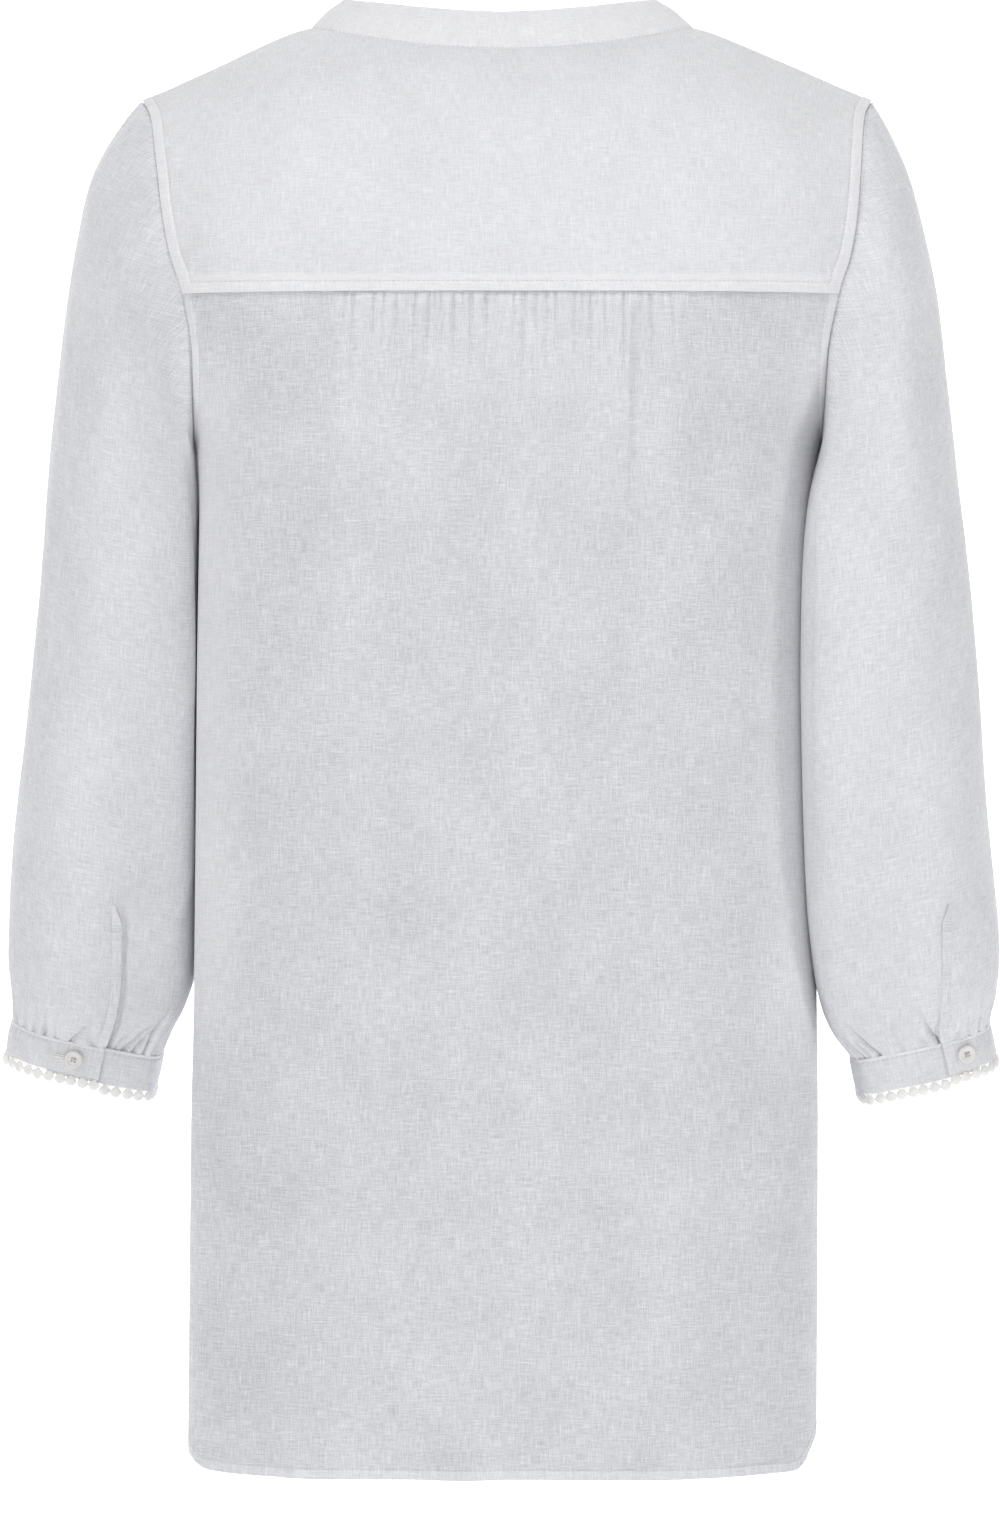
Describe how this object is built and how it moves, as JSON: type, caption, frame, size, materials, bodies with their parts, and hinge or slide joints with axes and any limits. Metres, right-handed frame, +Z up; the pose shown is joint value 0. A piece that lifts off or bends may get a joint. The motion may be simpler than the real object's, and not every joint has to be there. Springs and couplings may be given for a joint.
{
  "type": "tunic top",
  "caption": "White linen tunic top, filled out as worn: yoke, gathered back, stand neckband, long sleeves gathered into buttoned cuffs with picot edging.",
  "frame": {"origin": "middle of the neck's base, level with the neck ends of the shoulders", "axes": "+Z up, -Y to the wearer's front, +X to the wearer's left"},
  "size_m": [0.6011, 0.2499, 0.8812],
  "materials": {
    "linen": "single layer of slubby plain-weave white linen",
    "double_linen": "two layers of the same white linen, topstitched",
    "cotton_trim": "white cotton picot edging",
    "pearl": "pearly white four-hole shirt button"
  },
  "bodies": {
    "root": {"back": "linen", "front": "linen", "yoke": "double_linen", "neck_band": "double_linen", "sleeve_left": "linen", "sleeve_right": "linen", "cuff_left": "double_linen", "cuff_right": "double_linen", "placket_left": "double_linen", "placket_right": "double_linen", "cuff_trim_left": "cotton_trim", "cuff_trim_right": "cotton_trim", "button_left": "pearl", "button_right": "pearl"}
  },
  "joints": []
}
